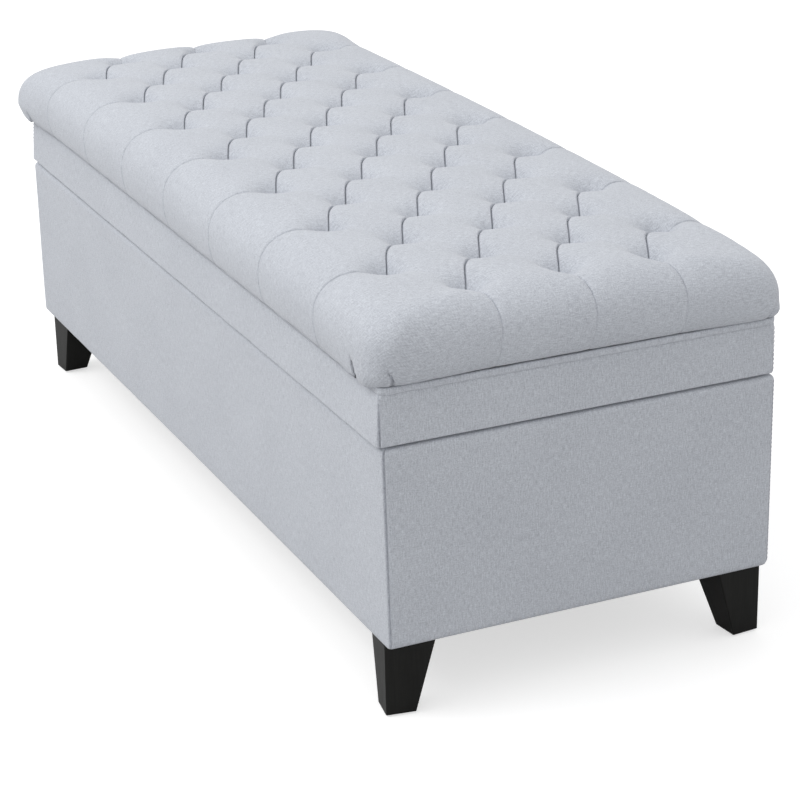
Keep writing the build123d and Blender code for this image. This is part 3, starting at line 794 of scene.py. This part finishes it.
lid_outline = (welt_high.x - 0.001, welt_low.y + 0.001, welt_high.y - 0.001, WELT_RADIUS)
lid_walk = np.linspace(0, outline_knots(*lid_outline)[0][-1], 1401)[:-1]
offsets, heights = round_profile(0.0026, welt_high.z - welt_low.z + 0.0006, 17)
welt = swept_profile("welt_strip", offsets, heights + (welt_low.z + welt_high.z + 0.0006) / 2, lid_walk,
                     lid_outline, 0.0004, 3)
merged(welt, 0.00001)
placed(welt, "lid", "linen_fabric", "welt")
print("welt:", len(welt.data.vertices), "points")

# %% [markdown]
# ## Upholstered sides
# Each side of the lid's band and of the box is its own piece of fabric, wrapped over a padded panel.
# A profile of outward offset and height is carried along the side, with the corner's curl at each end.
# Where the fabric turns inwards it is mitred, so its length shrinks towards the middle of the bench.

# %% Sides
SIDES = {
    "front": ((1, 0), (0, -1)),
    "right": ((0, 1), (1, 0)),
    "back": ((-1, 0), (0, 1)),
    "left": ((0, -1), (-1, 0)),
}
COVER_THICKNESS = 0.0011
SEAM_PINCH, SEAM_REACH = 0.0026, 0.0009
LEAN_OUT, LEAN_IN = 0.0035, 0.0045
BAND_CURL, BOX_CURL = 0.0045, 0.0055


def box_lean(x, y, z):
    """How far the box's front is pushed along Y: out at its left end, and in at the foot of its right end."""
    share = 0.5 - x / 1.3
    fall = np.clip((0.33 - z) / 0.24, 0, 1)
    return np.clip((0.05 - y) / 0.30, 0, 1) * (LEAN_OUT * fall * (1 - share) - LEAN_IN * share)


def side_sheet(name, side, size, profile, corner, mitre, columns, swell, seed, lean=0.0):
    """A wrapped side: profile offset and height down its rows, place along the side in its columns."""
    half_x, front, back = size
    (tx, ty), (ox, oy) = SIDES[side]
    half = half_x if tx else (back - front) / 2
    middle = np.array([0.0, (front + back) / 2])
    face = half_x if ox else (back - front) / 2
    offset, height = (np.asarray(v)[:, None] for v in profile)
    total = half - corner + corner * np.pi / 4
    walk = total * (2 * eased(columns - 1, 0.97) - 1)
    pinch = SEAM_PINCH * np.exp(-(total - np.abs(walk)) / SEAM_REACH)
    turned = np.clip((np.abs(walk) - (half - corner)) / corner, 0, None)
    x = np.sign(walk) * (np.minimum(np.abs(walk), half - corner) + corner * np.sin(turned))
    inset = corner * (1 - np.cos(turned))
    share = walk / total
    inside = np.clip(-offset / mitre, 0, None)
    out = np.clip(offset, 0, None)
    crown_of = (1 - share ** 2) ** 0.5 * swell
    rim = np.clip(1 + offset / 0.004, 0, 1)
    ripple = 0.0004 * wander(walk + height * 0.3, (0.23, 0.11, 0.061), seed) * rim
    px = x + (share * (half - mitre) - x) * inside + np.sign(walk) * (np.sin(turned) * out - pinch * rim)
    level = (height - height.min()) / (height.max() - height.min())
    po = -inset + (-mitre + inset) * inside + np.cos(turned) * out
    po = po + (crown_of * 4 * level * (1 - level) + ripple - pinch) * rim
    place = middle + np.stack([px * tx + (face + po) * ox, px * ty + (face + po) * oy], axis=-1)
    place[..., 1] += lean * rim * box_lean(place[..., 0], place[..., 1], height)
    points = raised(place, height)
    down = np.concatenate([[0], np.cumsum(np.hypot(np.diff(profile[0]), np.diff(profile[1])))])
    piece = mesh_piece(name, points, grid_faces(len(down), columns), LINEN, paired(walk, down))
    thickened(piece, COVER_THICKNESS)
    2 * total
    return piece


def bent_profile(corners, radii, samples=7):
    """A polyline of offsets and heights with each inner corner rounded to its radius."""
    corners = np.array(corners, float)
    points = [corners[0]]
    for before, here, after, radius in zip(corners[:-2], corners[1:-1], corners[2:], radii):
        into = (here - before) / np.linalg.norm(here - before)
        away = (after - here) / np.linalg.norm(after - here)
        s = np.linspace(0, 1, samples)[:, None]
        low, high = here - into * radius, here + away * radius
        points.extend((1 - s) ** 2 * low + 2 * s * (1 - s) * here + s ** 2 * high)
    points.append(corners[-1])
    return np.array(points)


def filled(points, step):
    """The polyline with its long runs divided to about the given step, as offsets and heights."""
    length = np.concatenate([[0], np.cumsum(np.linalg.norm(np.diff(points, axis=0), axis=1))])
    extra = np.arange(0, length[-1], step)
    at = np.union1d(length.round(7), extra)
    return np.interp(at, length, points[:, 0]), np.interp(at, length, points[:, 1])


# %% Band of the lid
band_low, band_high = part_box("band_cover_front")
_, band_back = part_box("band_cover_back")
_, band_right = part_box("band_cover_right")
band_size = (band_right.x, band_low.y, band_back.y)
for side in SIDES:
    flare = 0.0022 if side == "front" else 0.0004
    corners = [(-0.012, welt_low.z + 0.0005), (-flare, welt_low.z + 0.0005), (flare, band_low.z),
               (-0.022, band_low.z)]
    profile = filled(bent_profile(corners, (0.0016, 0.0022)), 0.006)
    band = side_sheet("band_" + side, side, band_size, profile, BAND_CURL, 0.024, 241, 0.0006, 11)
    replaced = ["band_cover_" + side] + (["band_padding"] if side == "front" else [])
    placed(band, "lid", "linen_fabric", *replaced)
print("band", [round(v, 4) for v in band_low], round(band_high.z, 4))

# %% Covers of the box
box_low, box_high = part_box("base_cover_front")
_, box_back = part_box("base_cover_back")
_, box_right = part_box("base_cover_right")
box_size = (box_right.x, box_low.y, box_back.y)
INNER_FACE = box_right.x - 0.6276
FLAP_Z = box_high.z - 0.030
for side in SIDES:
    corners = [(-INNER_FACE, FLAP_Z), (-INNER_FACE, box_high.z), (0.0, box_high.z), (0.0, box_low.z),
               (-0.031, box_low.z)]
    profile = filled(bent_profile(corners, (0.003, 0.0075, 0.0085)), 0.012)
    cover = side_sheet("box_cover_" + side, side, box_size, profile, BOX_CURL, INNER_FACE, 241, 0.0012,
                       23, lean=1.0)
    replaced = ["base_cover_" + side] + (["base_padding"] if side == "front" else [])
    placed(cover, "base", "linen_fabric", *replaced)
print("box", [round(v, 4) for v in box_low], round(box_high.z, 4))

# %% [markdown]
# ## Corner seams
# The sides meet in an upright seam, closed by hand.  Both sheets dive into a narrow groove there.  An uneven
# ridge, a thin tube that wanders, lies in the groove, and short arched stitches bridge it.

# %% Seams
THREAD_RADIUS = 0.00034
RIDGE_RADIUS = 0.0010
RIDGE_IN = 0.0034
STITCH_STEP = 0.0055


def tube(path, radius, sides):
    """Points round a path: a ring of the given radius at each path point, square to the path."""
    along = np.gradient(path, axis=0)
    along = along / np.linalg.norm(along, axis=1)[:, None]
    first = np.cross(along, np.array([0.31, 0.57, 0.76]))
    first = first / np.linalg.norm(first, axis=1)[:, None]
    second = np.cross(along, first)
    turn = np.linspace(0, 2 * np.pi, sides, endpoint=False)[None, :, None]
    radius = np.broadcast_to(radius, len(path))[:, None, None]
    return path[:, None] + radius * (np.cos(turn) * first[:, None] + np.sin(turn) * second[:, None])


def tubes_piece(name, tubes, material):
    """One piece from several closed tubes, each a grid of rings, with flat ends."""
    points, faces, flat, first = [], [], [], 0
    for rings in tubes:
        count, sides = rings.shape[:2]
        points.append(rings.reshape(-1, 3))
        body = grid_faces(count, sides, closed=True) + first
        faces += [list(f) for f in body]
        last = first + (count - 1) * sides
        faces += [list(range(first, first + sides)), list(range(last, last + sides))[::-1]]
        runs = np.meshgrid(np.arange(count) * 0.002, np.arange(sides) * 0.001, indexing="ij")
        flat.append(np.stack(runs, axis=-1).reshape(-1, 2))
        first += count * sides
    piece = mesh_piece(name, np.vstack(points), faces, material, np.vstack(flat))
    outward_faces(piece)
    return piece


def outward_faces(piece):
    """Turns every face of the closed shells outwards."""
    work = bmesh.new()
    work.from_mesh(piece.data)
    bmesh.ops.recalc_face_normals(work, faces=work.faces)
    work.to_mesh(piece.data)
    work.free()


def seam_tubes(x, y, z0, z1, seed, lean):
    """The ridge and the stitches of one upright seam at a corner."""
    way = np.array([np.sign(x), np.sign(y), 0.0]) / math.sqrt(2)
    across = np.array([-way[1], way[0], 0.0])
    z = np.arange(z0, z1, 0.0015)
    wobble = wander(z, (0.019, 0.0083, 0.0047), seed)
    path = np.array([x, y, 0.0]) + z[:, None] * np.array([0, 0, 1.0])
    path = path + wobble[:, None] * across * 0.0005
    path[:, 1] += lean * box_lean(x, y, z)
    made = [tube(path - way * RIDGE_IN, RIDGE_RADIUS + 0.00022 * wander(z, (0.011, 0.006), seed + 1), 8)]
    turn = np.linspace(-1.25, 1.25, 6)
    for place in np.arange(z0 + 0.004, z1 - 0.003, STITCH_STEP):
        middle = np.array([x, y + lean * box_lean(x, y, place), place])
        arch = (middle + way * (0.0008 * np.cos(turn) - 0.0010)[:, None]
                + across * (0.0022 * np.sin(turn))[:, None] + np.array([0, 0, 0.0012]) * turn[:, None])
        made.append(tube(arch, THREAD_RADIUS, 5))
    return made


def corner_seams(name, size, corner, z0, z1, body, seed, lean, *nodes):
    """Four upright seams where the sides of a box of that size meet."""
    half_x, front, back = size
    inset = corner * (1 - math.sqrt(0.5))
    made = []
    places = ((half_x, front), (half_x, back), (-half_x, back), (-half_x, front))
    for number, (x, y) in enumerate(places):
        x, y = x - math.copysign(inset, x), y - math.copysign(inset, y)
        made += seam_tubes(x, y, z0, z1, seed + number, lean)
    seams = tubes_piece(name, made, LINEN)
    placed(seams, body, "linen_fabric", *nodes)
    print(name, len(made), "tubes")


corner_seams("band_seams", band_size, BAND_CURL, band_low.z + 0.001, welt_low.z, "lid", 41, 0.0,
             "band_corner_seams")
corner_seams("box_seams", box_size, BOX_CURL, box_low.z + 0.006, box_high.z - 0.006, "base", 61, 1.0,
             "base_corner_seams")

# %% [markdown]
# ## Finishes of the hidden parts
# The rest of the bench is timber, steel, plastic and a black lining, which show when the lid is open or from
# below.  Each finish follows Object coordinates, because the CAD nodes carry no UV map.


# %% Other materials
def grained(name, light, dark, grain, gloss, relief, shine=0.4):
    """Wood: fibres stretched along the grain over slow bands of tone."""
    material, shader, place = finish_of(name)
    fibres = place.stretched(grain).noise(6.0, 6.0, 0.62)
    bands = place.stretched(tuple(v * 0.2 for v in grain)).noise(2.5, 3.0, 0.5)
    tone = (fibres * 0.6 + bands * 0.4).spread(0.35, 0.65)
    connect(shader, Base_Color=tone.mixed(dark, light), Roughness=fibres * 0.2 + gloss)
    connect(shader, Normal=bumped(fibres, relief), Specular_IOR_Level=shine)
    return material


def moulded(name, light, dark, gloss, size, relief):
    """Moulded plastic or rubber: a fine, even grain and a faint change of tone."""
    material, shader, place = finish_of(name)
    grain = place.noise(size, 3.0, 0.6)
    cloud = place.noise(40.0, 2.0, 0.5)
    connect(shader, Base_Color=cloud.mixed(dark, light), Roughness=grain * 0.15 + gloss)
    connect(shader, Normal=bumped(grain, relief))
    return material


def steel(name, light, dark, gloss, streaks):
    """Plated steel: fine drawing lines in the roughness, and dull spots in the plating."""
    material, shader, place = finish_of(name)
    lines = place.stretched(streaks).noise(10.0, 4.0, 0.6)
    spots = place.noise(220.0, 3.0, 0.6)
    tone = (lines * 0.5 + spots * 0.5).spread(0.3, 0.7)
    connect(shader, Base_Color=tone.mixed(dark, light), Metallic=1.0)
    connect(shader, Roughness=lines * 0.15 + spots * 0.1 + gloss, Normal=bumped(lines, 0.00004))
    return material


def felted(name, light, dark, size):
    """Non-woven cloth, foam or twine: tangled fibres from noise stretched by noise."""
    material, shader, place = finish_of(name)
    fibres = place.noise(size, 5.0, 0.7)
    tangle = place.stretched((1.0, 0.35, 1.0)).noise(size * 0.6, 4.0, 0.7)
    tone = (fibres * 0.5 + tangle * 0.5).spread(0.35, 0.65)
    connect(shader, Base_Color=tone.mixed(dark, light), Roughness=0.92)
    connect(shader, Normal=bumped(fibres, 0.0004), Sheen_Weight=0.15)
    return material


FINISHES = {
    "linen_fabric": LINEN,
    "black_lining": felted("lining_black", (0.034, 0.034, 0.036), (0.014, 0.014, 0.015), 900.0),
    "black_lacquer": grained("lacquer_black", (0.011, 0.011, 0.010), (0.005, 0.005, 0.0045),
                             (60.0, 60.0, 4.0), 0.28, 0.00006, 0.20),
    "glide_plastic": moulded("plastic_black", (0.03, 0.03, 0.03), (0.018, 0.018, 0.018), 0.45, 900.0,
                             0.00005),
    "bumper_rubber": moulded("rubber_black", (0.04, 0.04, 0.04), (0.025, 0.025, 0.025), 0.7, 1200.0, 0.00008),
    "upholstery_foam": felted("foam_cream", (0.86, 0.82, 0.66), (0.74, 0.70, 0.54), 700.0),
    "wadding": felted("wadding_white", (0.88, 0.88, 0.86), (0.76, 0.76, 0.74), 300.0),
    "twine": felted("twine_natural", (0.74, 0.70, 0.60), (0.55, 0.51, 0.42), 1500.0),
    "toggle_plastic": moulded("plastic_white", (0.82, 0.82, 0.80), (0.72, 0.72, 0.70), 0.35, 800.0, 0.00004),
    "pine": grained("pine", (0.66, 0.48, 0.29), (0.48, 0.31, 0.16), (3.0, 45.0, 45.0), 0.55, 0.0002),
    "plywood": grained("plywood", (0.62, 0.47, 0.30), (0.46, 0.32, 0.19), (4.0, 30.0, 60.0), 0.55, 0.0002),
    "zinc_steel": steel("steel_zinc", (0.68, 0.69, 0.70), (0.50, 0.51, 0.52), 0.28, (4.0, 60.0, 60.0)),
    "nickel_steel": steel("steel_nickel", (0.62, 0.60, 0.56), (0.46, 0.44, 0.41), 0.22, (60.0, 6.0, 6.0)),
}
for subpart in frame["record"]["subparts"]:
    node = frame["nodes"][subpart["node"]]
    node.data.materials.clear()
    node.data.materials.append(FINISHES[subpart["material_slot"]])
print(len(FINISHES), "finishes on", len(frame["nodes"]), "CAD nodes")

# %% [markdown]
# ## Legs
# The CAD legs have the right taper but knife edges.  A copy of each gets a small bevel, as sanding
# and lacquer leave it, and stands for its node.


# %% Bevelled legs
def sanded_leg(node_name):
    """The CAD leg's own faces, joined and given a small round on every edge."""
    mesh = frame["nodes"][node_name].data.copy()
    leg = bpy.data.objects.new(node_name.replace("leg_", "tapered_leg_"), mesh)
    scene.collection.objects.link(leg)
    merged(leg, 0.00001)
    mesh.shade_smooth()
    bevel = leg.modifiers.new("sanded edges", "BEVEL")
    bevel.width = 0.0016
    bevel.segments = 3
    bevel.angle_limit = math.radians(35)
    bevel.harden_normals = True
    placed(leg, "base", "black_lacquer", node_name)
    return leg


for node_name in ("leg_front_left", "leg_front_right", "leg_back_left", "leg_back_right"):
    sanded_leg(node_name)
print("4 legs")

# %% [markdown]
# ## Linings
# Black non-woven cloth lines the storage space, the lid's underside and the underside of the box.  It is
# stapled at its edges and lies a little loose between them, so each sheet is a grid with a shallow ripple.


# %% Lining sheets
LINING_THICKNESS = 0.0007


def from_edges(value, low, high):
    """How far a value is from the nearer of two edges, as a share of the way between them."""
    return np.minimum((value - low) / (high - low), (high - value) / (high - low))


def laid_sheet(name, node, body, facing, sag, seed):
    """A level sheet over a node's box, facing up (1) or down (-1), rippled and sagging in its middle."""
    low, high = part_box(node)
    u = np.linspace(low.x, high.x, 161)[:, None]
    v = np.linspace(low.y, high.y, 65)[None]
    held = np.minimum(1, 12 * from_edges(u, low.x, high.x))
    held = held * np.minimum(1, 8 * from_edges(v, low.y, high.y))
    ripple = 0.0005 * wander(u + 0.6 * v, (0.31, 0.17, 0.09), seed)
    ripple = ripple * wander(v - 0.3 * u, (0.23, 0.13), seed + 1)
    z = (high.z if facing > 0 else low.z) + held * (ripple - sag)
    points = np.stack(np.broadcast_arrays(u, v, z), axis=-1)
    faces = grid_faces(161, 65)
    if facing < 0:
        faces = faces[:, ::-1]
    sheet = mesh_piece(name, points, faces, FINISHES["black_lining"], points[..., :2])
    thickened(sheet, LINING_THICKNESS)
    placed(sheet, body, "black_lining", node)
    return sheet


def wall_lining(name, node):
    """The upright lining: a sheet carried round the inside of the box, facing inwards."""
    low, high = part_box(node)
    size = (high.x - 0.0008, low.y + 0.0008, high.y - 0.0008, 0.004)
    around = np.linspace(0, outline_knots(*size)[0][-1], 801)[:-1]
    rim, outward = outline(around, *size)
    z = np.linspace(low.z + 0.0005, high.z - 0.0005, 25)[:, None]
    held = np.clip(8 * from_edges(z, low.z, high.z), 0, 1)
    pull = 0.0005 * held * (1 + wander(around[None] + 0.4 * z, (0.41, 0.19, 0.083), 5))
    place = rim[None] - outward[None] * pull[..., None]
    lining = mesh_piece(name, raised(place, z), grid_faces(25, 800, closed=True), FINISHES["black_lining"],
                        paired(around, z[:, 0]))
    placed(lining, "base", "black_lining", node)
    return lining


laid_sheet("floor_lining", "storage_floor_lining", "base", 1, 0.0, 7)
laid_sheet("dust_cloth", "dust_cover", "base", -1, 0.0012, 9)
laid_sheet("lid_underside_lining", "lid_lining", "lid", -1, 0.0, 13)
wall_lining("wall_lining", "storage_wall_lining")
print("4 linings")

# %% [markdown]
# ## Floor and light
# A white floor runs on past the camera's view.  It also gives a little light that only the camera's own rays
# see, so that it looks white without lighting the bench from below.  A large soft lamp above the front left
# keeps the top and the front bright, the end falls into a soft shade, and a white world fills the shadows.

# %% Floor, world and lamps
FLOOR_HALF = 9.0
FLOOR_GLOW = 0.60
WORLD_LIGHT = 0.90
KEY_PLACE = (-0.4, -2.9, 3.6)
KEY_AIM = (0.0, 0.0, 0.3)
KEY_SIZE = 2.0
KEY_WATTS = 76.0
floor_corners = ((-1, -1), (1, -1), (1, 1), (-1, 1))
floor_points = np.array([[x * FLOOR_HALF, y * FLOOR_HALF, 0.0] for x, y in floor_corners])
floor_finish, floor_shader, floor_place = finish_of("floor_white")
floor_tone = floor_place.noise(3.0, 2.0, 0.5).spread(0.2, 0.8)
connect(floor_shader, Base_Color=floor_tone.mixed((0.53, 0.53, 0.53), (0.56, 0.56, 0.56)), Roughness=0.9)
seen = floor_place.add("ShaderNodeLightPath")
glow = seen.mixed((0.0, 0.0, 0.0), (1.0, 1.0, 1.0))
connect(floor_shader, Emission_Color=glow, Emission_Strength=FLOOR_GLOW)
floor = mesh_piece("floor", floor_points, [(0, 1, 2, 3)], floor_finish)

world = bpy.data.worlds.new("white room")
scene.world = world
world.use_nodes = True
background = world.node_tree.nodes["Background"]
background.inputs["Color"].default_value = (1.0, 1.0, 1.0, 1.0)
background.inputs["Strength"].default_value = WORLD_LIGHT
scene.view_settings.view_transform = "Standard"

lamp = bpy.data.objects.new("key", bpy.data.lights.new("key", "AREA"))
scene.collection.objects.link(lamp)
lamp.data.size = KEY_SIZE
lamp.data.energy = KEY_WATTS
lamp.location = KEY_PLACE
lamp.rotation_euler = (Vector(KEY_PLACE) - Vector(KEY_AIM)).to_track_quat("Z", "Y").to_euler()
print("lit")
